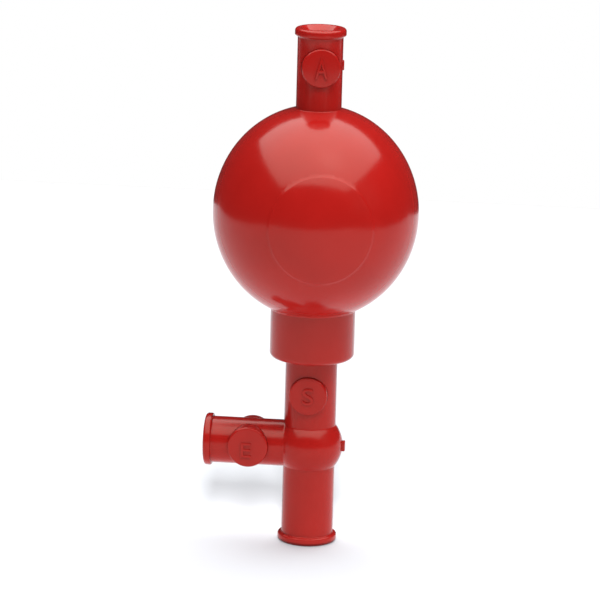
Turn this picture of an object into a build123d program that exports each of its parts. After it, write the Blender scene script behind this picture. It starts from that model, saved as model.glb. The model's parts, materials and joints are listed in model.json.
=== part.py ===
from build123d import *
import math
import os

# Three-valve pipette filler: a hollow rubber squeeze bulb with a valve tube on top, pushed by its
# collar over the plug of a rubber tee that holds two more valves and the pipette socket.
# Millimetres, +Z up. The origin is the centre of the pipette socket's mouth, on the foot's underside.
# The tee's side tube points along -X and its valve pads face -Y and +Y.

# Bulb
BULB_RADIUS = 30.0
BULB_HALF_HEIGHT = 31.4
BULB_CENTRE_Z = 99.2
WALL = 3.0
BULB_TURN_DEG = 9.0

# Collar of the bulb and the plug of the tee inside it
COLLAR_RADIUS = 12.4
COLLAR_BASE_Z = 55.8
COLLAR_TOP_Z = 74.0
COLLAR_EDGE_ROUND = 1.7
PLUG_RADIUS = 9.05
PLUG_FIT = 0.05
PLUG_TOP_Z = 69.4
NECK_RADIUS = 7.0

# Top valve tube of the bulb
TOP_TUBE_RADIUS = 6.6
TOP_Z = 153.4
TOP_FLANGE_RADIUS = 7.45
TOP_FLANGE_THICK = 2.4
TOP_TUBE_START_Z = 126.0
TOP_MOUTH_RADIUS = 3.8
TOP_MOUTH_DEPTH = 6.3
TOP_FUNNEL_RADIUS = 5.4
TOP_FUNNEL_DEPTH = 1.5
VALVE_A_Z = 142.6

# Tee
STEM_RADIUS = 7.6
HUB_RADIUS = 9.8
HUB_Z = 29.2
FOOT_RADIUS = 8.7
FOOT_THICK = 2.4
SIDE_RADIUS = 6.85
SIDE_REACH = 30.9
SIDE_FLANGE_RADIUS = 7.7
SIDE_FLANGE_THICK = 2.4
FLANGE_ROUND = 0.8
VALVE_S_Z = 45.7
VALVE_E_X = -17.5
SOCKET_RADIUS = 3.5
SOCKET_DEPTH = 16.0
SIDE_MOUTH_RADIUS = 3.0
SIDE_MOUTH_DEPTH = 9.0
AIRWAY_RADIUS = 2.5

# Valve balls, and the thumb pads that pinch the tube beside each ball
BALL_RADIUS = 3.5
BALL_POCKET_RADIUS = 3.53
PAD_RADIUS = 5.6
PAD_E_RADIUS = 6.0
PAD_PROUD = 0.85
PAD_ARCH_DEPTH = 1.2
PAD_EDGE_BEVEL = 0.45
PAD_CLEARANCE = 0.1
PAD_TRAVEL = 1.2
PAD_STOP_GAP = 0.05
SKIRT_DEPTH = 0.1
LETTER_A_HEIGHT = 6.0
LETTER_S_HEIGHT = 5.0
LETTER_E_HEIGHT = 4.4
LETTER_STROKE = 0.75
LETTER_PROUD = 0.25

# Squeeze walls: the round raised panels at the bulb's front and back
PANEL_HALF_WIDTH = 15.4
PANEL_HALF_HEIGHT = 16.1
PANEL_PROUD = 0.25
PANEL_CLEARANCE = 0.2

# Moulding gate stubs
GATE_THICK = 1.6
GATE_HEIGHT = 3.0
TOP_GATE_PROUD = 0.45
HUB_GATE_PROUD = 0.8

FAR = 60.0
SAME_RADIUS = 0.01

os.makedirs("parts", exist_ok=True)


def facing(azimuth_deg, point):
    """A plane at the point that faces -Y turned by the azimuth about Z, with its own Y pointing up."""
    turn = math.radians(azimuth_deg)
    across = (math.cos(turn), math.sin(turn), 0)
    outward = (math.sin(turn), -math.cos(turn), 0)
    return Plane(origin=point, x_dir=across, z_dir=outward)


def save(built, name):
    """Labels a finished piece and writes it to its own STEP file."""
    built.part.label = name
    export_step(built.part, f"parts/{name}.step")


def pad_skirt(tube_radius, pad_radius=PAD_RADIUS):
    """How far out from the tube's axis a pad's side wall starts."""
    return math.sqrt(tube_radius**2 - pad_radius**2) - SKIRT_DEPTH


def pad_core(tube_radius):
    """The radius of rubber left around the valve ball under a pad."""
    return tube_radius - PAD_ARCH_DEPTH - PAD_TRAVEL - PAD_STOP_GAP


BULB_FRONT = BULB_TURN_DEG
BULB_BACK = BULB_TURN_DEG + 180
TEE_FRONT = 0
TEE_BACK = 180
VALVE_A = (0, 0, VALVE_A_Z)
VALVE_S = (0, 0, VALVE_S_Z)
VALVE_E = (VALVE_E_X, 0, HUB_Z)
BULB_CENTRE = (0, 0, BULB_CENTRE_Z)

# Bulb shell: ball, collar and top valve tube, one moulding, with round openings for the squeeze walls.
with BuildPart() as bulb_shell:
    with BuildSketch(Plane.XZ) as outer_half:
        with Locations((0, BULB_CENTRE_Z)):
            Ellipse(BULB_RADIUS, BULB_HALF_HEIGHT)
        with Locations((-BULB_RADIUS, BULB_CENTRE_Z)):
            Rectangle(2 * BULB_RADIUS, 3 * BULB_RADIUS, mode=Mode.SUBTRACT)
    revolve(axis=Axis.Z)
    with BuildSketch(Plane.XY.offset(COLLAR_BASE_Z)):
        Circle(COLLAR_RADIUS)
    extrude(amount=COLLAR_TOP_Z - COLLAR_BASE_Z)
    fillet(bulb_shell.edges().group_by(Axis.Z)[0], COLLAR_EDGE_ROUND)
    with BuildSketch(Plane.XY.offset(TOP_TUBE_START_Z)):
        Circle(TOP_TUBE_RADIUS)
    extrude(amount=TOP_Z - TOP_TUBE_START_Z)
    with BuildSketch(Plane.XY.offset(TOP_Z - TOP_FLANGE_THICK)):
        Circle(TOP_FLANGE_RADIUS)
    extrude(amount=TOP_FLANGE_THICK)
    flange_rims = bulb_shell.edges().filter_by(GeomType.CIRCLE).sort_by(Axis.Z)[-2:]
    fillet(flange_rims, FLANGE_ROUND)
    with BuildSketch(facing(BULB_TURN_DEG + 90, VALVE_A)):
        Rectangle(GATE_THICK, GATE_HEIGHT)
    extrude(amount=TOP_TUBE_RADIUS + TOP_GATE_PROUD)
    for azimuth in (BULB_FRONT, BULB_BACK):
        with BuildSketch(facing(azimuth, VALVE_A).offset(pad_skirt(TOP_TUBE_RADIUS) - PAD_TRAVEL)):
            Circle(PAD_RADIUS + PAD_CLEARANCE)
        extrude(amount=FAR, mode=Mode.SUBTRACT)
    with BuildSketch(Plane.XY.offset(VALVE_A_Z - PAD_RADIUS - 2 * PAD_CLEARANCE)):
        Circle(pad_core(TOP_TUBE_RADIUS))
    extrude(amount=2 * PAD_RADIUS + 4 * PAD_CLEARANCE)
    with BuildSketch(Plane.XZ) as hollow_half:
        with Locations((0, BULB_CENTRE_Z)):
            Ellipse(BULB_RADIUS - WALL, BULB_HALF_HEIGHT - WALL)
        with Locations((-BULB_RADIUS, BULB_CENTRE_Z)):
            Rectangle(2 * BULB_RADIUS, 3 * BULB_RADIUS, mode=Mode.SUBTRACT)
    revolve(axis=Axis.Z, mode=Mode.SUBTRACT)
    with BuildSketch(Plane.XY.offset(COLLAR_BASE_Z)):
        Circle(PLUG_RADIUS + PLUG_FIT)
    extrude(amount=PLUG_TOP_Z - COLLAR_BASE_Z, mode=Mode.SUBTRACT)
    with BuildSketch(Plane.XY.offset(PLUG_TOP_Z)):
        Circle(NECK_RADIUS)
    extrude(amount=BULB_CENTRE_Z - PLUG_TOP_Z, mode=Mode.SUBTRACT)
    with BuildSketch(Plane.XY.offset(BULB_CENTRE_Z)):
        Circle(AIRWAY_RADIUS)
    extrude(amount=TOP_Z - BULB_CENTRE_Z, mode=Mode.SUBTRACT)
    with BuildSketch(Plane.XY.offset(TOP_Z - TOP_MOUTH_DEPTH)):
        Circle(TOP_MOUTH_RADIUS)
    extrude(amount=TOP_MOUTH_DEPTH, mode=Mode.SUBTRACT)
    with Locations((0, 0, TOP_Z - TOP_FUNNEL_DEPTH / 2)):
        Cone(TOP_MOUTH_RADIUS, TOP_FUNNEL_RADIUS, TOP_FUNNEL_DEPTH, mode=Mode.SUBTRACT)
    with Locations(VALVE_A):
        Sphere(BALL_POCKET_RADIUS, mode=Mode.SUBTRACT)
    with BuildSketch(facing(BULB_FRONT, BULB_CENTRE).offset(-FAR)):
        Ellipse(PANEL_HALF_WIDTH + PANEL_CLEARANCE, PANEL_HALF_HEIGHT + PANEL_CLEARANCE)
    extrude(amount=2 * FAR, mode=Mode.SUBTRACT)
save(bulb_shell, "bulb_shell")

# Squeeze walls: the bulb's front and back panels, cut from the same shell and a little proud of it.
for name, azimuth in {"squeeze_wall_front": BULB_FRONT, "squeeze_wall_back": BULB_BACK}.items():
    with BuildPart() as squeeze_wall:
        with BuildSketch(Plane.XZ):
            with Locations((0, BULB_CENTRE_Z)):
                Ellipse(BULB_RADIUS + PANEL_PROUD, BULB_HALF_HEIGHT + PANEL_PROUD)
                Ellipse(BULB_RADIUS - WALL, BULB_HALF_HEIGHT - WALL, mode=Mode.SUBTRACT)
            with Locations((-BULB_RADIUS - 1, BULB_CENTRE_Z)):
                Rectangle(2 * BULB_RADIUS + 2, 3 * BULB_RADIUS, mode=Mode.SUBTRACT)
        revolve(axis=Axis.Z)
        with BuildSketch(facing(azimuth, BULB_CENTRE)):
            Ellipse(PANEL_HALF_WIDTH, PANEL_HALF_HEIGHT)
        extrude(amount=FAR, mode=Mode.INTERSECT)
    save(squeeze_wall, name)

# Valve tee: foot, lower tube, round hub, side tube, stem and plug, one moulding with three airways.
with BuildPart() as valve_tee:
    with BuildSketch(Plane.XY):
        Circle(STEM_RADIUS)
    extrude(amount=COLLAR_BASE_Z)
    with BuildSketch(Plane.XY.offset(COLLAR_BASE_Z)):
        Circle(PLUG_RADIUS)
    extrude(amount=PLUG_TOP_Z - COLLAR_BASE_Z - PLUG_FIT)
    with BuildSketch(Plane.XY):
        Circle(FOOT_RADIUS)
    extrude(amount=FOOT_THICK)
    with BuildSketch(Plane.YZ.offset(-SIDE_REACH)):
        with Locations((0, HUB_Z)):
            Circle(SIDE_RADIUS)
    extrude(amount=SIDE_REACH)
    with BuildSketch(Plane.YZ.offset(-SIDE_REACH)):
        with Locations((0, HUB_Z)):
            Circle(SIDE_FLANGE_RADIUS)
    extrude(amount=SIDE_FLANGE_THICK)
    with Locations((0, 0, HUB_Z)):
        Sphere(HUB_RADIUS)
    round_edges = valve_tee.edges().filter_by(GeomType.CIRCLE)
    foot_rims = round_edges.filter_by(lambda rim: abs(rim.radius - FOOT_RADIUS) < SAME_RADIUS)
    side_rims = round_edges.filter_by(lambda rim: abs(rim.radius - SIDE_FLANGE_RADIUS) < SAME_RADIUS)
    fillet(foot_rims + side_rims, FLANGE_ROUND)
    with BuildSketch(Plane.YZ):
        with Locations((0, HUB_Z)):
            Rectangle(GATE_THICK, GATE_HEIGHT)
    extrude(amount=HUB_RADIUS + HUB_GATE_PROUD)
    for azimuth in (TEE_FRONT, TEE_BACK):
        with BuildSketch(facing(azimuth, VALVE_S).offset(pad_skirt(STEM_RADIUS) - PAD_TRAVEL)):
            Circle(PAD_RADIUS + PAD_CLEARANCE)
        extrude(amount=FAR, mode=Mode.SUBTRACT)
        with BuildSketch(facing(azimuth, VALVE_E).offset(pad_skirt(SIDE_RADIUS, PAD_E_RADIUS) - PAD_TRAVEL)):
            Circle(PAD_E_RADIUS + PAD_CLEARANCE)
        extrude(amount=FAR, mode=Mode.SUBTRACT)
    with BuildSketch(Plane.XY.offset(VALVE_S_Z - PAD_RADIUS - 2 * PAD_CLEARANCE)):
        Circle(pad_core(STEM_RADIUS))
    extrude(amount=2 * PAD_RADIUS + 4 * PAD_CLEARANCE)
    with BuildSketch(Plane.YZ.offset(VALVE_E_X - PAD_E_RADIUS - 2 * PAD_CLEARANCE)):
        with Locations((0, HUB_Z)):
            Circle(pad_core(SIDE_RADIUS))
    extrude(amount=2 * PAD_E_RADIUS + 4 * PAD_CLEARANCE)
    with BuildSketch(Plane.XY):
        Circle(AIRWAY_RADIUS)
    extrude(amount=PLUG_TOP_Z, mode=Mode.SUBTRACT)
    with BuildSketch(Plane.XY):
        Circle(SOCKET_RADIUS)
    extrude(amount=SOCKET_DEPTH, mode=Mode.SUBTRACT)
    with BuildSketch(Plane.YZ.offset(-SIDE_REACH)):
        with Locations((0, HUB_Z)):
            Circle(AIRWAY_RADIUS)
    extrude(amount=SIDE_REACH, mode=Mode.SUBTRACT)
    with BuildSketch(Plane.YZ.offset(-SIDE_REACH)):
        with Locations((0, HUB_Z)):
            Circle(SIDE_MOUTH_RADIUS)
    extrude(amount=SIDE_MOUTH_DEPTH, mode=Mode.SUBTRACT)
    with Locations(VALVE_S, VALVE_E):
        Sphere(BALL_POCKET_RADIUS, mode=Mode.SUBTRACT)
save(valve_tee, "valve_tee")

# Valve balls: glass, one seated in each valve.
for name, centre in {"valve_ball_a": VALVE_A, "valve_ball_s": VALVE_S, "valve_ball_e": VALVE_E}.items():
    with BuildPart() as valve_ball:
        with Locations(centre):
            Sphere(BALL_RADIUS)
    save(valve_ball, name)


def letter_lines(letter, height):
    """The centre lines of a plain capital letter's strokes, drawn about the origin."""
    half = height / 2
    side = height / 3
    if letter == "A":
        Polyline((-side, -half), (0, half), (side, -half))
        Line((-side / 2, -half / 3), (side / 2, -half / 3))
    elif letter == "E":
        Polyline((side, half), (-side, half), (-side, -half), (side, -half))
        Line((-side, 0), (side, 0))
    else:
        CenterArc((0, half / 2), half / 2, 20, 250)
        CenterArc((0, -half / 2), half / 2, 90, -250)


# Thumb pads: a round raised disc over each side of each valve, arched inside to clear the ball's seat.
PADS = {
    "pad_a_front": (BULB_FRONT, VALVE_A, TOP_TUBE_RADIUS, PAD_RADIUS, "A", LETTER_A_HEIGHT),
    "pad_a_back": (BULB_BACK, VALVE_A, TOP_TUBE_RADIUS, PAD_RADIUS, "A", LETTER_A_HEIGHT),
    "pad_s_front": (TEE_FRONT, VALVE_S, STEM_RADIUS, PAD_RADIUS, "S", LETTER_S_HEIGHT),
    "pad_s_back": (TEE_BACK, VALVE_S, STEM_RADIUS, PAD_RADIUS, "S", LETTER_S_HEIGHT),
    "pad_e_front": (TEE_FRONT, VALVE_E, SIDE_RADIUS, PAD_E_RADIUS, "E", LETTER_E_HEIGHT),
    "pad_e_back": (TEE_BACK, VALVE_E, SIDE_RADIUS, PAD_E_RADIUS, "E", LETTER_E_HEIGHT),
}
for name, (azimuth, centre, tube_radius, pad_radius, letter, letter_height) in PADS.items():
    front = facing(azimuth, centre)
    face_out = tube_radius + PAD_PROUD
    arch_radius = tube_radius - PAD_ARCH_DEPTH
    tube_plane = Plane.YZ if centre == VALVE_E else Plane.XY
    along_tube = centre[0] if centre == VALVE_E else centre[2]
    tube_middle = (0, HUB_Z) if centre == VALVE_E else (0, 0)
    with BuildPart() as pad:
        with BuildSketch(front.offset(pad_skirt(tube_radius, pad_radius))):
            Circle(pad_radius)
        extrude(amount=face_out - pad_skirt(tube_radius, pad_radius))
        chamfer(pad.faces().sort_by(Axis(front.origin, front.z_dir))[-1].edges(), PAD_EDGE_BEVEL)
        with BuildSketch(tube_plane.offset(along_tube - 2 * pad_radius)):
            with Locations(tube_middle):
                Circle(arch_radius)
        extrude(amount=4 * pad_radius, mode=Mode.SUBTRACT)
        with BuildSketch(front.offset(face_out)):
            with BuildLine():
                letter_lines(letter, letter_height)
            trace(line_width=LETTER_STROKE)
        extrude(amount=LETTER_PROUD)
    save(pad, name)
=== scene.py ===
"""A three-valve pipette filler in glossy red natural rubber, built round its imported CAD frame.

The squeeze bulb is one moulding with its collar and top valve tube, and the tee below it is another. Each is
turned on a spindle as on a lathe and then cut for its thumb pads. Sizes are in millimetres until they reach
Blender, and places come from the frame.
"""

import json
import logging
import math
from dataclasses import dataclass, field
from enum import Enum

import bpy
from mathutils import Matrix, Vector


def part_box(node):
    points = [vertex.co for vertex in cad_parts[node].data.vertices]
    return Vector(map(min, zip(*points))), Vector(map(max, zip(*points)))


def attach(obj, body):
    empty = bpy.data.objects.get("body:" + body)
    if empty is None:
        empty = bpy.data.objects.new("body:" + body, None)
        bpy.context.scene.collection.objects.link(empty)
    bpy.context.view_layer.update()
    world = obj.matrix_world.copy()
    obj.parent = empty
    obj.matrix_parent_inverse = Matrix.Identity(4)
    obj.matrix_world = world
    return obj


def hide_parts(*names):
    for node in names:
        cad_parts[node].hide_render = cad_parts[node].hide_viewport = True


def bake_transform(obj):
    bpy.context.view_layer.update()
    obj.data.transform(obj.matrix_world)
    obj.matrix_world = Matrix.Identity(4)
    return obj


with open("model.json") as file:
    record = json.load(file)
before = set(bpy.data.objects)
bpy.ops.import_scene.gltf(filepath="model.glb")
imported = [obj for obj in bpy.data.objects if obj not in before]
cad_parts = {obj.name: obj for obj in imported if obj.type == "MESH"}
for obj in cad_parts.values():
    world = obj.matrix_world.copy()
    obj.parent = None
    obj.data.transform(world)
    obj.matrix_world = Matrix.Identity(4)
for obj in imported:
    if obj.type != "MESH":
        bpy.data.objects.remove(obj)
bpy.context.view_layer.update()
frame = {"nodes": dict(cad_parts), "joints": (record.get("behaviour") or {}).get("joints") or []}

logging.basicConfig(level=logging.INFO, format="%(name)s: %(message)s")
LOG = logging.getLogger("pipette_filler")

MM = 0.001
FULL_TURN = 360.0
HALF_TURN = 180.0
UP = Vector((0.0, 0.0, 1.0))
WELD = 0.002 * MM
SMOOTH_ANGLE = math.radians(32.0)
ORIGIN = Vector((0.0, 0.0, 0.0))
SIDES = ("front", "back")

# How finely outlines are drawn.
STRAIGHT = math.pi - math.radians(1.0)
CHORD_ANGLE = math.radians(12.0)
FEWEST_CHORDS = 3
LONGEST_SHARE = 0.49
ON_SPINDLE = 0.001
BALL_CHORDS = 16


# ---------------------------------------------------------------------------------------------------------
# What the frame says
# ---------------------------------------------------------------------------------------------------------


def middle(node: str) -> Vector:
    """Finds the middle of a CAD node's box.

    Args:
        node: The node's name.

    Returns:
        The middle, in metres.
    """
    low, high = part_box(node)
    return (low + high) / 2


def joint(name: str) -> dict:
    """Finds a joint of the frame by its name."""
    return next(found for found in frame["joints"] if found["name"] == name)


def joint_axis(name: str) -> Vector:
    """Finds a joint's axis.

    Args:
        name: The joint's name.

    Returns:
        The direction its child moves in.
    """
    return Vector(joint(name)["axis"]).normalized()


def joint_travel(name: str) -> float:
    """Finds how far a sliding joint goes.

    Args:
        name: The joint's name.

    Returns:
        Its longest travel, in millimetres.
    """
    return joint(name)["range_m"][1] / MM


# ---------------------------------------------------------------------------------------------------------
# Lathe work
# ---------------------------------------------------------------------------------------------------------


@dataclass(frozen=True)
class Corner:
    """A point of an outline, with the radius that rounds it off."""

    radius: float
    height: float
    rounding: float = 0.0


@dataclass
class Outline:
    """A closed profile beside a spindle, drawn as straight runs, rounded corners and arcs."""

    corners: list[Corner] = field(default_factory=list)

    def run(self, radius: float, height: float, rounding: float = 0.0) -> "Outline":
        """Draws on to a corner.

        Args:
            radius: The corner's distance from the spindle.
            height: Its place along the spindle.
            rounding: The radius that rounds it off.

        Returns:
            The outline, to draw on.
        """
        self.corners.append(Corner(radius, height, rounding))
        return self

    def arc(self, height: float, half_width: float, half_height: float, start: float, end: float,
            count: int, joins: tuple[float, float] = (0.0, 0.0)) -> "Outline":
        """Draws on along part of an ellipse that is centred on the spindle.

        Args:
            height: The centre's place along the spindle.
            half_width: The ellipse's half width.
            half_height: The ellipse's half height.
            start: The first angle above the centre, in degrees.
            end: The last angle.
            count: The number of chords.
            joins: The roundings where the arc meets its neighbours.

        Returns:
            The outline, to draw on.
        """
        for index in range(count + 1):
            angle = math.radians(start + (end - start) * index / count)
            rounding = {0: joins[0], count: joins[1]}.get(index, 0.0)
            self.run(half_width * math.cos(angle), height + half_height * math.sin(angle), rounding)
        return self

    def points(self) -> list[tuple[float, float]]:
        """Lists the outline's points with its corners rounded off.

        Returns:
            The radius and height of each.
        """
        found: list[tuple[float, float]] = []
        for index, corner in enumerate(self.corners):
            here = Vector((corner.radius, corner.height))
            before = self.corners[index - 1]
            after = self.corners[(index + 1) % len(self.corners)]
            back = Vector((before.radius, before.height)) - here
            on = Vector((after.radius, after.height)) - here
            if corner.rounding <= 0 or min(back.length, on.length) == 0:
                found.append((corner.radius, corner.height))
                continue
            found.extend(round_off(here, back, on, corner.rounding))
        return found


def round_off(corner: Vector, back: Vector, on: Vector, rounding: float) -> list[tuple[float, float]]:
    """Lists the points of the arc that rounds off a corner.

    Args:
        corner: The corner.
        back: The way to the corner before it.
        on: The way to the corner after it.
        rounding: The arc's radius.

    Returns:
        The arc's points, in order.
    """
    opening = back.angle(on)
    if opening > STRAIGHT:
        return [tuple(corner)]
    reach = min(rounding / math.tan(opening / 2), LONGEST_SHARE * back.length, LONGEST_SHARE * on.length)
    radius = reach * math.tan(opening / 2)
    bisector = (back.normalized() + on.normalized()).normalized()
    centre = corner + bisector * (radius / math.sin(opening / 2))
    first = corner + back.normalized() * reach - centre
    last = corner + on.normalized() * reach - centre
    swept = first.angle_signed(last)
    count = max(FEWEST_CHORDS, math.ceil(abs(swept) / CHORD_ANGLE))
    found = []
    for index in range(count + 1):
        turned = first.copy()
        turned.rotate(Matrix.Rotation(-swept * index / count, 2))
        found.append(tuple(centre + turned))
    return found


@dataclass(frozen=True)
class Spindle:
    """A line to turn a profile about, and the way out from it that the profile is drawn in."""

    origin: Vector
    along: Vector
    out: Vector

    def place(self, radius: float, height: float) -> Vector:
        """Finds a profile point in the frame.

        Args:
            radius: The distance from the spindle, in millimetres.
            height: The place along the spindle, in millimetres.

        Returns:
            The point, in metres.
        """
        return self.origin + (self.out * radius + self.along * height) * MM


def deselect() -> None:
    """Leaves edit mode and clears the selection."""
    if bpy.context.mode != "OBJECT":
        bpy.ops.object.mode_set(mode="OBJECT")
    bpy.ops.object.select_all(action="DESELECT")


def take(piece: bpy.types.Object) -> None:
    """Selects one piece and makes it active."""
    deselect()
    piece.select_set(True)
    bpy.context.view_layer.objects.active = piece


def settle(piece: bpy.types.Object) -> None:
    """Moves a piece's place into its mesh."""
    take(piece)
    bpy.ops.object.transform_apply(location=True, rotation=True, scale=True)


def turn(name: str, outline: Outline, spindle: Spindle, sweep: float = FULL_TURN,
         steps: int = 192) -> bpy.types.Object:
    """Turns a closed profile into a solid.

    Args:
        name: The piece's name.
        outline: The profile.
        spindle: What it turns about.
        sweep: How far it turns, in degrees.
        steps: The number of steps in that.

    Returns:
        The solid, with its place in its mesh.
    """
    drawn = outline.points()
    if max(drawn[0][0], drawn[-1][0]) > ON_SPINDLE:
        drawn.append(drawn[0])
    points = [spindle.place(*point) for point in drawn]
    deselect()
    bpy.ops.mesh.primitive_plane_add(size=MM, location=points[0])
    piece = bpy.context.active_object
    piece.name = name
    settle(piece)
    bpy.ops.object.mode_set(mode="EDIT")
    bpy.ops.mesh.select_all(action="SELECT")
    bpy.ops.mesh.merge(type="CENTER")
    for before, after in zip(points, points[1:]):
        bpy.ops.mesh.extrude_vertices_move(TRANSFORM_OT_translate={"value": after - before})
    bpy.ops.mesh.select_all(action="SELECT")
    bpy.ops.mesh.remove_doubles(threshold=WELD)
    bpy.ops.mesh.spin(steps=steps, angle=math.radians(sweep), center=spindle.origin, axis=spindle.along)
    bpy.ops.mesh.select_all(action="SELECT")
    bpy.ops.mesh.remove_doubles(threshold=WELD)
    if sweep < FULL_TURN:
        bpy.ops.mesh.fill_holes(sides=0)
    bpy.ops.mesh.select_all(action="SELECT")
    bpy.ops.mesh.normals_make_consistent(inside=False)
    bpy.ops.object.mode_set(mode="OBJECT")
    return piece


class Work(Enum):
    """What a tool does to the piece it is put through."""

    CUT = "DIFFERENCE"
    JOIN = "UNION"


def work(piece: bpy.types.Object, tool: bpy.types.Object, how: Work) -> None:
    """Cuts a piece with a tool, or joins the tool to it, and takes the tool away.

    Args:
        piece: The piece.
        tool: The closed solid that cuts it or joins it.
        how: Which of the two.
    """
    take(piece)
    bpy.ops.object.modifier_add(type="BOOLEAN")
    step = piece.modifiers[-1]
    step.operation = how.value
    step.solver = "EXACT"
    step.object = tool
    bpy.ops.object.modifier_apply(modifier=step.name)
    bpy.data.objects.remove(tool)


def smooth(piece: bpy.types.Object) -> None:
    """Welds a finished piece and shades it smooth except at its sharp edges."""
    take(piece)
    bpy.ops.object.mode_set(mode="EDIT")
    bpy.ops.mesh.select_all(action="SELECT")
    bpy.ops.mesh.remove_doubles(threshold=WELD)
    bpy.ops.mesh.dissolve_degenerate(threshold=WELD)
    bpy.ops.object.mode_set(mode="OBJECT")
    bpy.ops.object.shade_smooth_by_angle(angle=SMOOTH_ANGLE)


# ---------------------------------------------------------------------------------------------------------
# Finishes
# ---------------------------------------------------------------------------------------------------------


def linear(hex_colour: str) -> tuple[float, float, float, float]:
    """Turns an sRGB hex colour into Blender's linear one.

    Args:
        hex_colour: Six hex digits after a hash.

    Returns:
        Red, green, blue and an alpha of 1.
    """
    parts = [int(hex_colour[start:start + 2], 16) / 255 for start in (1, 3, 5)]
    channels = [part / 12.92 if part <= 0.04045 else ((part + 0.055) / 1.055) ** 2.4 for part in parts]
    return (*channels, 1.0)


def add_node(tree: bpy.types.NodeTree, kind: str, values: dict | None = None, inputs: dict | None = None,
             links: dict | None = None) -> bpy.types.Node:
    """Adds one node with its settings, socket values and incoming links.

    Args:
        tree: The node tree.
        kind: The node's type name.
        values: Its properties.
        inputs: Its sockets' own values.
        links: Output sockets to join to its input sockets.

    Returns:
        The node.
    """
    node = tree.nodes.new(kind)
    for key, value in (values or {}).items():
        setattr(node, key, value)
    for key, value in (inputs or {}).items():
        node.inputs[key].default_value = value
    for key, socket in (links or {}).items():
        tree.links.new(socket, node.inputs[key])
    return node


def new_material(name: str) -> bpy.types.Material:
    """Makes a material with an empty node tree."""
    material = bpy.data.materials.new(name)
    material.use_nodes = True
    material.node_tree.nodes.clear()
    return material


@dataclass(frozen=True)
class RubberFinish:
    """Vulcanised natural rubber, pressed in a polished mould.

    The mould's polish gives sharp-edged but slightly veiled reflections, and the rubber's own skin gives a
    very shallow ripple, cloudy changes of pigment and a dusting of matte bloom.
    """

    name: str
    deep: str
    bright: str
    sheen: str = "#FFF5E4"
    ior: float = 1.38
    roughness: float = 0.13
    bloom: float = 0.05
    cloud_mm: float = 14.0
    ripple_mm: float = 3.0
    ripple_depth_mm: float = 0.02
    grain_mm: float = 0.35

    def build(self) -> bpy.types.Material:
        """Makes the material.

        Returns:
            The material.
        """
        material = new_material(self.name)
        tree = material.node_tree
        place = add_node(tree, "ShaderNodeTexCoord").outputs["Object"]
        clouds = add_node(
            tree, "ShaderNodeTexNoise",
            inputs={"Scale": 1 / (self.cloud_mm * MM), "Detail": 3.0, "Roughness": 0.5},
            links={"Vector": place},
        )
        pigment = add_node(tree, "ShaderNodeValToRGB", links={"Fac": clouds.outputs["Fac"]})
        pigment.color_ramp.elements[0].position = 0.3
        pigment.color_ramp.elements[0].color = linear(self.deep)
        pigment.color_ramp.elements[1].position = 0.7
        pigment.color_ramp.elements[1].color = linear(self.bright)
        grain = add_node(
            tree, "ShaderNodeTexNoise",
            inputs={"Scale": 1 / (self.grain_mm * MM), "Detail": 2.0}, links={"Vector": place},
        )
        veil = add_node(
            tree, "ShaderNodeMapRange",
            inputs={"From Min": 0.3, "From Max": 0.7, "To Min": self.roughness,
                    "To Max": self.roughness + self.bloom},
            links={"Value": grain.outputs["Fac"]},
        )
        ripple = add_node(
            tree, "ShaderNodeTexNoise",
            inputs={"Scale": 1 / (self.ripple_mm * MM), "Detail": 1.0}, links={"Vector": place},
        )
        bump = add_node(
            tree, "ShaderNodeBump",
            inputs={"Strength": 1.0, "Distance": self.ripple_depth_mm * MM},
            links={"Height": ripple.outputs["Fac"]},
        )
        rubber = add_node(
            tree, "ShaderNodeBsdfPrincipled",
            inputs={"IOR": self.ior, "Specular Tint": linear(self.sheen)},
            links={"Base Color": pigment.outputs["Color"], "Roughness": veil.outputs["Result"],
                   "Normal": bump.outputs["Normal"]},
        )
        add_node(tree, "ShaderNodeOutputMaterial", links={"Surface": rubber.outputs["BSDF"]})
        return material


@dataclass(frozen=True)
class GlassFinish:
    """A polished soda-lime glass ball: clear, faintly green, with fine seed bubbles dulling it in spots."""

    name: str = "soda_lime_glass"
    tint: str = "#E4F0EA"
    seed_mm: float = 0.6

    def build(self) -> bpy.types.Material:
        """Makes the material.

        Returns:
            The material.
        """
        material = new_material(self.name)
        tree = material.node_tree
        place = add_node(tree, "ShaderNodeTexCoord").outputs["Object"]
        seeds = add_node(
            tree, "ShaderNodeTexVoronoi", inputs={"Scale": 1 / (self.seed_mm * MM)}, links={"Vector": place}
        )
        dulling = add_node(
            tree, "ShaderNodeMapRange",
            inputs={"From Min": 0.0, "From Max": 0.3, "To Min": 0.12, "To Max": 0.02},
            links={"Value": seeds.outputs["Distance"]},
        )
        glass = add_node(
            tree, "ShaderNodeBsdfPrincipled",
            inputs={"Base Color": linear(self.tint), "IOR": 1.52, "Transmission Weight": 1.0},
            links={"Roughness": dulling.outputs["Result"]},
        )
        add_node(tree, "ShaderNodeOutputMaterial", links={"Surface": glass.outputs["BSDF"]})
        return material


def dress(piece: bpy.types.Object, material: bpy.types.Material) -> None:
    """Gives a piece one material all over."""
    piece.data.materials.clear()
    piece.data.materials.append(material)


# ---------------------------------------------------------------------------------------------------------
# Valves
# ---------------------------------------------------------------------------------------------------------


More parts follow.
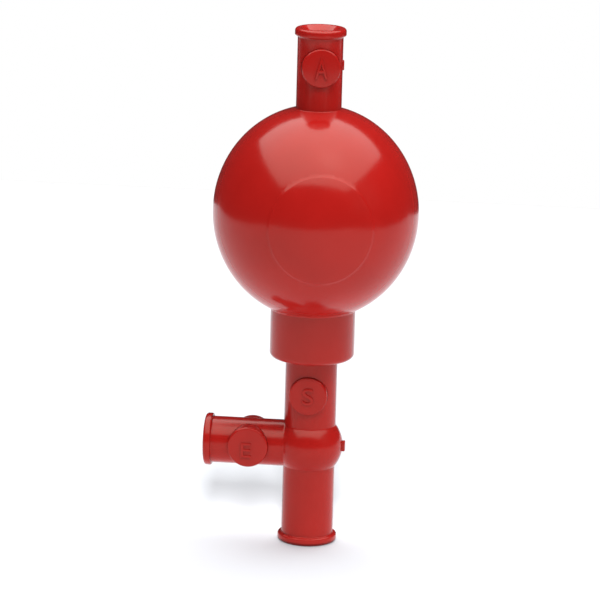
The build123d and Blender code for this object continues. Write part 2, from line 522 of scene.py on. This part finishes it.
@dataclass
class Valve:
    """One valve: its ball's place, the tube round it, and the thumb pads on the tube's two sides."""

    letter: str
    tube_radius: float
    along: Vector
    letter_height: float
    pad_radius: float = 5.6
    proud: float = 0.85
    arch_depth: float = 1.2
    edge_rounding: float = 0.4
    skirt_depth: float = 0.1
    slide_gap: float = 0.06
    stop_gap: float = 0.05
    letter_proud: float = 0.3
    letter_sink: float = 0.2
    letter_width_share: float = 0.66
    letter_shift: tuple[float, float] = (0.0, 0.0)
    letter_bevel: float = 0.05
    seam_lean: float = 0.13
    core_lean: float = 0.17
    ball_pocket: float = 3.53

    @property
    def centre(self) -> Vector:
        """The middle of the valve's ball."""
        return middle(f"valve_ball_{self.letter}")

    @property
    def travel(self) -> float:
        """How far a pad goes in when it is pinched."""
        return joint_travel(f"pinch_{self.letter}_front")

    @property
    def skirt(self) -> float:
        """How far out from the tube's axis a pad's side wall starts."""
        return math.sqrt(self.tube_radius**2 - self.pad_radius**2) - self.skirt_depth

    def outward(self, side: str) -> Vector:
        """The way a side's pad faces."""
        return -joint_axis(f"pinch_{self.letter}_{side}")

    def spindle(self, side: str) -> Spindle:
        """The line through the valve's ball and the middle of a side's pad, its seam off the tube's own."""
        facing = self.outward(side)
        return Spindle(self.centre, facing, (UP.cross(facing) + UP * self.seam_lean).normalized())

    def core(self, name: str, radius: float) -> bpy.types.Object:
        """Makes a plain round bar along the tube under the pads.

        Args:
            name: Its name.
            radius: Its radius.

        Returns:
            The bar.
        """
        half = 2 * self.pad_radius
        outline = Outline().run(0, -half).run(radius, -half).run(radius, half).run(0, half)
        front = self.outward("front")
        across = (self.along.cross(front) + front * self.core_lean).normalized()
        return turn(name, outline, Spindle(self.centre, self.along, across))

    def cut_pocket(self, moulding: bpy.types.Object, side: str) -> None:
        """Cuts the pocket that a side's pad sinks into when it is pinched.

        Args:
            moulding: The tube's piece.
            side: The pad's side.
        """
        floor = self.skirt - self.travel - self.stop_gap
        wall = self.pad_radius + self.slide_gap
        far = self.tube_radius + 2 * self.proud
        outline = Outline().run(0, floor).run(wall, floor).run(wall, far).run(0, far)
        pocket = turn("pocket", outline, self.spindle(side))
        bar = self.tube_radius - self.arch_depth - self.travel - self.stop_gap
        work(pocket, self.core("pocket_core", bar), Work.CUT)
        work(moulding, pocket, Work.CUT)

    def build_pad(self, side: str, rubber: bpy.types.Material) -> bpy.types.Object:
        """Makes the thumb pad of one side, with its raised valve letter.

        Args:
            side: front or back.
            rubber: Its material.

        Returns:
            The pad.
        """
        face = self.tube_radius + self.proud
        outline = Outline().run(0, self.skirt).run(self.pad_radius, self.skirt)
        outline.run(self.pad_radius, face, self.edge_rounding).run(0, face)
        pad = turn(f"thumb_pad_{self.letter}_{side}", outline, self.spindle(side))
        work(pad, self.core("arch", self.tube_radius - self.arch_depth), Work.CUT)
        work(pad, self.build_letter(side, face), Work.JOIN)
        smooth(pad)
        dress(pad, rubber)
        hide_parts(f"pad_{self.letter}_{side}")
        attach(pad, f"pad_{self.letter}_{side}")
        return pad

    def build_letter(self, side: str, face: float) -> bpy.types.Object:
        """Makes the raised letter that names the valve.

        Args:
            side: front or back.
            face: The pad face's distance from the tube's axis.

        Returns:
            The letter.
        """
        outward = self.outward(side)
        across = UP.cross(outward)
        deselect()
        bpy.ops.object.text_add()
        text = bpy.context.active_object
        text.data.body = self.letter.upper()
        text.data.align_x = "CENTER"
        text.data.size = self.letter_height * MM
        text.data.extrude = (self.letter_proud + self.letter_sink) / 2 * MM
        text.data.bevel_depth = self.letter_bevel * MM
        text.data.bevel_resolution = 1
        bpy.ops.object.convert(target="MESH")
        letter = bpy.context.active_object
        size = letter.dimensions
        low = min(vertex.co.y for vertex in letter.data.vertices)
        tall = self.letter_height * MM / size.y
        wide = self.letter_height * self.letter_width_share * MM / size.x
        middle_out = face + (self.letter_proud - self.letter_sink) / 2
        beside, above = self.letter_shift
        origin = self.centre + (outward * middle_out + across * beside + UP * above) * MM
        origin -= UP * (low + size.y / 2) * tall
        turned = Matrix((across, UP, outward)).transposed().to_4x4()
        letter.matrix_world = Matrix.Translation(origin) @ turned @ Matrix.Diagonal((wide, tall, 1.0, 1.0))
        settle(letter)
        bpy.ops.object.mode_set(mode="EDIT")
        bpy.ops.mesh.select_all(action="SELECT")
        bpy.ops.mesh.remove_doubles(threshold=WELD)
        bpy.ops.mesh.normals_make_consistent(inside=False)
        bpy.ops.object.mode_set(mode="OBJECT")
        return letter


def gate_stub(name: str, size: tuple[float, float, float], place: Vector, heading: float,
              bevel: float) -> bpy.types.Object:
    """Makes the trimmed stub that a mould's gate leaves.

    Args:
        name: Its name.
        size: Its depth, width and height, in millimetres.
        place: Its middle, in metres.
        heading: How far it is turned about the upright axis.
        bevel: The width of its bevelled edges, in millimetres.

    Returns:
        The stub.
    """
    deselect()
    bpy.ops.mesh.primitive_cube_add(size=MM)
    stub = bpy.context.active_object
    stub.name = name
    stub.scale = size
    stub.location = place
    stub.rotation_euler = (0.0, 0.0, heading)
    settle(stub)
    bpy.ops.object.mode_set(mode="EDIT")
    bpy.ops.mesh.select_all(action="SELECT")
    bpy.ops.mesh.bevel(offset=bevel * MM, segments=3)
    bpy.ops.object.mode_set(mode="OBJECT")
    return stub


# ---------------------------------------------------------------------------------------------------------
# The bulb moulding
# ---------------------------------------------------------------------------------------------------------


@dataclass
class SqueezeBulb:
    """The bulb, its collar and its top valve tube: one moulding, made as the mould's front and back halves.

    The halves meet at the mould's parting line.
    """

    valve: Valve
    radius: float = 30.0
    half_height: float = 31.4
    wall: float = 3.0
    collar_radius: float = 12.4
    collar_rounding: float = 1.7
    collar_fillet: float = 1.3
    bore_radius: float = 9.1
    bore_rounding: float = 0.3
    neck_rounding: float = 0.2
    neck_radius: float = 7.0
    tube_fillet: float = 0.25
    flange_radius: float = 7.45
    flange_thick: float = 2.3
    flange_rounding: float = 1.0
    flange_fillet: float = 0.5
    flange_lean: float = 0.1
    mouth_radius: float = 3.8
    mouth_depth: float = 6.3
    mouth_rounding: float = 0.4
    mouth_floor_rounding: float = 0.3
    mouth_floor_cone: float = 0.8
    funnel_radius: float = 5.7
    funnel_depth: float = 1.5
    funnel_rounding: float = 0.5
    airway_radius: float = 2.5
    panel_proud: float = 0.245
    panel_slope: float = 0.55
    panel_edge: float = 0.18
    panel_sink: float = 1.2
    panel_overlap: float = 0.02
    bend_start: float = 12.5
    bend_end: float = 31.5
    gate_depth: float = 2.0
    gate_width: float = 1.6
    gate_height: float = 2.8
    gate_proud: float = 0.4
    gate_bevel: float = 0.2

    def __post_init__(self) -> None:
        """Reads the bulb's levels from the frame."""
        low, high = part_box("bulb_shell")
        panel_low, panel_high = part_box("squeeze_wall_front")
        self.base = low.z / MM
        self.top = high.z / MM
        self.centre = (panel_low.z + panel_high.z) / 2 / MM
        self.panel_half_height = (panel_high.z - panel_low.z) / 2 / MM
        self.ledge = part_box("valve_tee")[1].z / MM
        self.facing = -joint_axis("squeeze_front")

    def outline(self) -> Outline:
        """Draws the moulding's section from the collar's mouth, up its outside and down its inside."""
        inner = self.radius - self.wall
        inner_tall = self.half_height - self.wall
        stretch = self.half_height / self.radius
        collar_start = -math.degrees(math.acos(self.collar_radius / self.radius))
        tube_end = math.degrees(math.acos(self.valve.tube_radius / self.radius))
        air_start = math.degrees(math.acos(self.airway_radius / inner))
        neck_end = -math.degrees(math.acos(self.neck_radius / inner))
        ball = self.valve.centre.z / MM
        pocket = self.valve.ball_pocket
        seat = math.degrees(math.acos(self.airway_radius / pocket))
        drawn = Outline().run(self.bore_radius, self.base, self.bore_rounding)
        drawn.run(self.collar_radius, self.base, self.collar_rounding)
        drawn.arc(self.centre, self.radius, self.radius * stretch, collar_start, tube_end, 72,
                  (self.collar_fillet, self.tube_fillet))
        under = self.top - self.flange_thick
        drawn.run(self.valve.tube_radius, under, self.flange_fillet)
        drawn.run(self.flange_radius, under + self.flange_lean, self.flange_rounding)
        drawn.run(self.flange_radius, self.top, self.flange_rounding)
        drawn.run(self.funnel_radius, self.top, self.funnel_rounding)
        drawn.run(self.mouth_radius, self.top - self.funnel_depth, self.mouth_rounding)
        floor = self.top - self.mouth_depth
        drawn.run(self.mouth_radius, floor, self.mouth_floor_rounding)
        drawn.run(self.airway_radius, floor - self.mouth_floor_cone)
        drawn.arc(ball, pocket, pocket, seat, -seat, BALL_CHORDS)
        drawn.arc(self.centre, inner, inner_tall, air_start, neck_end, 60)
        drawn.run(self.neck_radius, self.ledge, self.neck_rounding).run(self.bore_radius, self.ledge)
        return drawn

    def half(self, side: str) -> bpy.types.Object:
        """Makes one half of the moulding.

        Args:
            side: front or back.

        Returns:
            The half, closed at the parting line.
        """
        facing = self.facing if side == "front" else -self.facing
        across = UP.cross(facing)
        spindle = Spindle(ORIGIN, UP, across)
        piece = turn(f"bulb_{side}", self.outline(), spindle, HALF_TURN, 144)
        work(piece, self.panel(facing, across), Work.JOIN)
        self.valve.cut_pocket(piece, side)
        return piece

    def panel(self, facing: Vector, across: Vector) -> bpy.types.Object:
        """Makes the raised round panel that a thumb presses, sunk into the bulb's wall.

        Args:
            facing: The way the panel faces.
            across: The way across it.

        Returns:
            The panel.
        """
        outer = self.radius + self.panel_proud
        inner = self.radius - self.panel_sink
        stretch = self.half_height / self.radius
        wide = self.panel_half_height / stretch
        rim = math.degrees(math.acos((wide - self.panel_slope) / outer))
        sunk = math.degrees(math.acos(wide / inner))
        drawn = Outline().arc(0, outer, outer, 90, rim, 36, (0.0, self.panel_edge))
        drawn.run(wide, math.sqrt(self.radius**2 - wide**2) - self.panel_overlap)
        drawn.arc(0, inner, inner, sunk, 90, 36)
        spindle = Spindle(ORIGIN, facing, across)
        panel = turn("panel", drawn, spindle)
        panel.scale = (1.0, 1.0, stretch)
        panel.location = (0.0, 0.0, self.centre * MM)
        settle(panel)
        return panel

    def gate(self) -> bpy.types.Object:
        """Makes the trimmed stub of the mould's gate on the top tube's side."""
        across = UP.cross(self.facing)
        reach = self.valve.tube_radius + self.gate_proud
        size = (self.gate_depth, self.gate_width, self.gate_height)
        place = self.valve.centre + across * (reach - self.gate_depth / 2) * MM
        return gate_stub("top_gate_stub", size, place, math.atan2(across.y, across.x), self.gate_bevel)

    def build(self, rubber: bpy.types.Material) -> list[bpy.types.Object]:
        """Makes the moulding, its gate stub and its two thumb pads.

        Args:
            rubber: The bulb's material.

        Returns:
            The pieces.
        """
        pieces = []
        for side in SIDES:
            piece = self.half(side)
            smooth(piece)
            dress(piece, rubber)
            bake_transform(piece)
            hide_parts("bulb_shell", f"squeeze_wall_{side}")
            pieces.append(piece)
        stub = self.gate()
        smooth(stub)
        dress(stub, rubber)
        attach(stub, "bulb")
        pieces.append(stub)
        for side in SIDES:
            pad = self.valve.build_pad(side, rubber)
            pieces.append(pad)
        return pieces


# ---------------------------------------------------------------------------------------------------------
# The tee moulding
# ---------------------------------------------------------------------------------------------------------


@dataclass
class ValveTee:
    """The tee: foot, lower tube, round hub, side tube, stem, and the plug that the bulb's collar grips."""

    stem_valve: Valve
    side_valve: Valve
    foot_radius: float = 8.7
    foot_thick: float = 2.4
    foot_rounding: float = 1.0
    hub_radius: float = 9.8
    hub_fillet: float = 0.7
    plug_radius: float = 9.05
    plug_shoulder: float = 0.1
    stem_flare: float = 0.9
    socket_radius: float = 3.5
    socket_depth: float = 16.0
    socket_rounding: float = 0.5
    airway_radius: float = 2.5
    side_flange_radius: float = 7.7
    side_flange_thick: float = 2.2
    side_mouth_radius: float = 3.0
    side_mouth_depth: float = 9.0
    side_mouth_chamfer: float = 0.6
    side_mouth_rounding: float = 0.3
    side_rim_rounding: float = 0.2
    side_flange_rounding: float = 0.9
    side_flange_back_rounding: float = 0.8
    side_fillet: float = 1.0
    side_flare: float = 1.2
    side_flare_depth: float = 1.4
    side_root: float = 4.5
    side_bore_start: float = 0.5
    bore_cone: float = 0.5
    flange_fillet: float = 0.3
    plug_shoulder_rounding: float = 0.2
    plug_rounding: float = 0.6
    plug_mouth_rounding: float = 0.4
    cut_margin: float = 1.0
    gate_depth: float = 4.0
    gate_width: float = 1.6
    gate_height: float = 3.1
    gate_bevel: float = 0.25

    def __post_init__(self) -> None:
        """Reads the tee's levels from the frame."""
        low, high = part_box("valve_tee")
        self.plug_top = high.z / MM
        self.reach = -low.x / MM
        self.gate_reach = high.x / MM
        self.hub_height = self.side_valve.centre.z / MM
        self.collar_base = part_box("bulb_shell")[0].z / MM

    def outline(self) -> Outline:
        """Draws the upright part's section, up its outside and down its airway."""
        stem = self.stem_valve.tube_radius
        meet = math.degrees(math.acos(stem / self.hub_radius))
        ball = self.stem_valve.centre.z / MM
        pocket = self.stem_valve.ball_pocket
        seat = math.degrees(math.acos(self.airway_radius / pocket))
        shoulder = self.collar_base + self.plug_shoulder
        drawn = Outline().run(self.socket_radius, 0, self.socket_rounding)
        drawn.run(self.foot_radius, 0, self.foot_rounding)
        drawn.run(self.foot_radius, self.foot_thick, self.foot_rounding)
        drawn.run(stem, self.foot_thick, self.flange_fillet)
        drawn.arc(self.hub_height, self.hub_radius, self.hub_radius, -meet, meet, 20,
                  (self.hub_fillet, self.hub_fillet))
        drawn.run(stem, shoulder, self.stem_flare)
        drawn.run(self.plug_radius, shoulder, self.plug_shoulder_rounding)
        drawn.run(self.plug_radius, self.plug_top, self.plug_rounding)
        drawn.run(self.airway_radius, self.plug_top, self.plug_mouth_rounding)
        drawn.arc(ball, pocket, pocket, seat, -seat, BALL_CHORDS)
        drawn.run(self.airway_radius, self.socket_depth)
        drawn.run(self.socket_radius, self.socket_depth - self.bore_cone)
        return drawn

    def side_outline(self) -> Outline:
        """Draws the side tube's section from its flanged end to the hub, with no bore."""
        tube = self.side_valve.tube_radius
        meet = math.sqrt(self.hub_radius**2 - tube**2)
        behind = self.reach - self.side_flange_thick
        drawn = Outline().run(0, self.reach)
        drawn.run(self.side_flange_radius, self.reach, self.side_flange_rounding)
        drawn.run(self.side_flange_radius, behind, self.side_flange_back_rounding)
        drawn.run(tube, behind, self.flange_fillet).run(tube, meet, self.side_fillet)
        drawn.run(tube + self.side_flare, meet - self.side_flare_depth)
        drawn.run(tube, self.side_root).run(0, self.side_root)
        return drawn

    def side_bore(self) -> Outline:
        """Draws the side tube's airway, with the seat of its valve ball and its rounded mouth."""
        ball = -self.side_valve.centre.x / MM
        pocket = self.side_valve.ball_pocket
        seat = math.degrees(math.acos(self.airway_radius / pocket))
        end = self.reach + self.cut_margin
        neck = self.reach - self.side_mouth_depth
        rim = self.side_mouth_radius + self.side_mouth_chamfer
        drawn = Outline().run(0, self.side_bore_start).run(self.airway_radius, self.side_bore_start)
        drawn.arc(ball, pocket, pocket, -seat, seat, BALL_CHORDS)
        drawn.run(self.airway_radius, neck - self.bore_cone).run(self.side_mouth_radius, neck)
        drawn.run(self.side_mouth_radius, self.reach - self.side_mouth_chamfer, self.side_mouth_rounding)
        drawn.run(rim, self.reach, self.side_rim_rounding).run(rim, end).run(0, end)
        return drawn

    def gate(self) -> bpy.types.Object:
        """Makes the trimmed stub of the mould's gate on the hub's far side."""
        size = (self.gate_depth, self.gate_width, self.gate_height)
        place = Vector((self.gate_reach - self.gate_depth / 2, 0.0, self.hub_height)) * MM
        return gate_stub("hub_gate_stub", size, place, 0.0, self.gate_bevel)

    def build(self, rubber: bpy.types.Material) -> list[bpy.types.Object]:
        """Makes the tee and its four thumb pads.

        Args:
            rubber: The tee's material.

        Returns:
            The pieces.
        """
        upright = Spindle(ORIGIN, UP, Vector((1.0, 0.0, 0.0)))
        level = Spindle(Vector((0.0, 0.0, self.hub_height * MM)), Vector((-1.0, 0.0, 0.0)), UP)
        tee = turn("tee", self.outline(), upright)
        work(tee, turn("side_tube", self.side_outline(), level), Work.JOIN)
        work(tee, self.gate(), Work.JOIN)
        work(tee, turn("side_bore", self.side_bore(), level, steps=96), Work.CUT)
        for valve in (self.stem_valve, self.side_valve):
            for side in SIDES:
                valve.cut_pocket(tee, side)
        smooth(tee)
        dress(tee, rubber)
        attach(tee, "tee")
        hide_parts("valve_tee")
        pieces = [tee]
        for valve in (self.stem_valve, self.side_valve):
            for side in SIDES:
                pad = valve.build_pad(side, rubber)
                pieces.append(pad)
        return pieces


# ---------------------------------------------------------------------------------------------------------
# The studio
# ---------------------------------------------------------------------------------------------------------


class Lit(Enum):
    """What a lamp is flagged off to light."""

    FILLER = "everything but the table"
    TABLE = "the table alone"


@dataclass(frozen=True)
class Lamp:
    """One rectangular studio lamp: where it hangs, what it looks at, how bright it is and what it lights."""

    name: str
    place: tuple[float, float, float]
    target: tuple[float, float, float]
    width: float
    depth: float
    watts: float
    lit: Lit = Lit.FILLER
    spread: float = 180.0
    hidden: bool = False

    def build(self, table: bpy.types.Object, passed: bpy.types.Collection) -> None:
        """Hangs the lamp.

        Args:
            table: The table, which takes light only from its own lamps.
            passed: The pieces that a table lamp reaches past.
        """
        deselect()
        aim = Vector(self.target) - Vector(self.place)
        turned = aim.to_track_quat("-Z", "Y").to_euler()
        bpy.ops.object.light_add(type="AREA", location=self.place, rotation=turned)
        lamp = bpy.context.active_object
        lamp.name = self.name
        lamp.data.shape = "RECTANGLE"
        lamp.data.size = self.width
        lamp.data.size_y = self.depth
        lamp.data.spread = math.radians(self.spread)
        lamp.data.energy = self.watts
        lamp.visible_camera = not self.hidden
        lamp.visible_glossy = not self.hidden
        group = bpy.data.collections.new(f"{self.name}_receivers")
        group.objects.link(table)
        if self.lit is Lit.FILLER:
            group.collection_objects[0].light_linking.link_state = "EXCLUDE"
        else:
            lamp.light_linking.blocker_collection = passed
        lamp.light_linking.receiver_collection = group


@dataclass
class Studio:
    """A pale table with its own two lamps, and a wide softbox over the filler, in a white room."""

    table_tone: str = "#C4C7CB"
    table_front: float = 0.7
    table_back: float = 0.5
    table_width: float = 1.2
    room: float = 0.045
    camera_turn: float = 5.9
    camera_rise: float = 13.24
    camera_distance: float = 1.1
    camera_lens: float = 225.7
    camera_lean: float = 1.57
    aim_height: float = 0.075
    aim_left: float = 0.00395
    aim_down: float = 0.00208
    clip_start: float = 0.05
    clip_end: float = 20.0
    lamps: tuple[Lamp, ...] = (
        Lamp("overhead_softbox", (0.1, -0.36, 1.7), (0.1, -0.36, 0.0), 3.97, 3.58, 132.0, spread=150.0),
        Lamp("key", (0.34, -0.42, 1.15), (0.0, 0.0, 0.08), 0.45, 0.45, 12.5, hidden=True),
        Lamp("side_fill", (1.1, -0.5, 0.6), (0.0, 0.0, 0.1), 0.7, 0.7, 5.0, hidden=True),
        Lamp("table_bounce", (0.0, 0.0, 0.001), (0.0, 0.0, 1.0), 1.2, 1.2, 7.5, hidden=True),
        Lamp("table_back", (-0.1, 0.95, 1.25), (0.0, 0.0, 0.0), 2.6, 2.6, 66.0, Lit.TABLE, hidden=True),
        Lamp("table_front", (0.28, -2.7, 1.49), (0.0, 0.0, 0.0), 0.3, 0.75, 165.0, Lit.TABLE, hidden=True),
    )

    def build_camera(self) -> None:
        """Makes the camera, in front of the filler and a little above it, leaning slightly."""
        turned, rise, lean = (math.radians(angle) for angle in
                              (self.camera_turn, self.camera_rise, self.camera_lean))
        near = math.cos(rise)
        back = Vector((math.sin(turned) * near, -math.cos(turned) * near, math.sin(rise)))
        level = UP.cross(back).normalized()
        above = back.cross(level)
        right = level * math.cos(lean) + above * math.sin(lean)
        over = above * math.cos(lean) - level * math.sin(lean)
        aim = Vector((0.0, 0.0, self.aim_height)) - right * self.aim_left - over * self.aim_down
        deselect()
        bpy.ops.object.camera_add()
        camera = bpy.context.active_object
        camera.name = "camera"
        camera.data.lens = self.camera_lens
        place = Matrix((right, over, back)).transposed().to_4x4()
        camera.matrix_world = Matrix.Translation(aim + back * self.camera_distance) @ place
        camera.data.clip_start = self.clip_start
        camera.data.clip_end = self.clip_end
        bpy.context.scene.camera = camera

    def build_table(self) -> bpy.types.Object:
        """Makes the pale table top round the filler.

        Returns:
            The table.
        """
        deselect()
        middle_y = (self.table_back - self.table_front) / 2
        bpy.ops.mesh.primitive_plane_add(size=1.0, location=(0.0, middle_y, 0.0))
        table = bpy.context.active_object
        table.name = "table"
        table.scale = (self.table_width, self.table_front + self.table_back, 1.0)
        settle(table)
        material = new_material("matte_pale_laminate")
        tree = material.node_tree
        pale = add_node(tree, "ShaderNodeBsdfPrincipled",
                        inputs={"Base Color": linear(self.table_tone), "Roughness": 0.9})
        add_node(tree, "ShaderNodeOutputMaterial", links={"Surface": pale.outputs["BSDF"]})
        dress(table, material)
        return table

    def build_room(self) -> None:
        """Makes the dim room, which is white behind everything the camera sees."""
        world = bpy.data.worlds.new("room")
        bpy.context.scene.world = world
        world.use_nodes = True
        tree = world.node_tree
        tree.nodes.clear()
        seen = add_node(tree, "ShaderNodeLightPath").outputs["Is Camera Ray"]
        dim = add_node(tree, "ShaderNodeBackground", inputs={"Color": (1, 1, 1, 1), "Strength": self.room})
        white = add_node(tree, "ShaderNodeBackground", inputs={"Color": (1, 1, 1, 1), "Strength": 1.0})
        both = add_node(tree, "ShaderNodeMixShader",
                        links={"Fac": seen, 1: dim.outputs[0], 2: white.outputs[0]})
        add_node(tree, "ShaderNodeOutputWorld", links={"Surface": both.outputs[0]})

    def build(self, bulb: list[bpy.types.Object]) -> None:
        """Makes the whole studio.

        Args:
            bulb: The bulb's pieces, which the table's lamps reach past.
        """
        passed = bpy.data.collections.new("table_lamps_pass")
        for piece in bulb:
            passed.objects.link(piece)
        for member in passed.collection_objects:
            member.light_linking.link_state = "EXCLUDE"
        self.build_camera()
        table = self.build_table()
        for lamp in self.lamps:
            lamp.build(table, passed)
        self.build_room()
        bpy.context.scene.view_settings.view_transform = "Standard"


def main() -> None:
    """Builds the studio and the filler's sub-assemblies in order, and reports each piece."""
    bulb_rubber = RubberFinish("bulb_natural_rubber", deep="#7A0F0C", bright="#80110E").build()
    tee_rubber = RubberFinish("tee_natural_rubber", deep="#780F0C", bright="#7E110E", ior=1.33,
                               roughness=0.18).build()
    glass = GlassFinish().build()
    valve_a = Valve("a", 6.6, UP, 6.0, letter_width_share=0.6)
    valve_s = Valve("s", 7.6, UP, 5.0)
    valve_e = Valve("e", 6.85, Vector((1.0, 0.0, 0.0)), 4.4, pad_radius=6.0, edge_rounding=0.6,
                    letter_width_share=0.7, letter_shift=(-0.6, -0.9), seam_lean=0.57, core_lean=0.29)
    pieces = SqueezeBulb(valve_a).build(bulb_rubber)
    Studio().build(pieces)
    pieces += ValveTee(valve_s, valve_e).build(tee_rubber)
    for letter in "ase":
        ball = frame["nodes"][f"valve_ball_{letter}"]
        dress(ball, glass)
        pieces.append(ball)
    for piece in pieces:
        LOG.info("%s: %d faces", piece.name, len(piece.data.polygons))


if __name__ == "__main__":
    main()
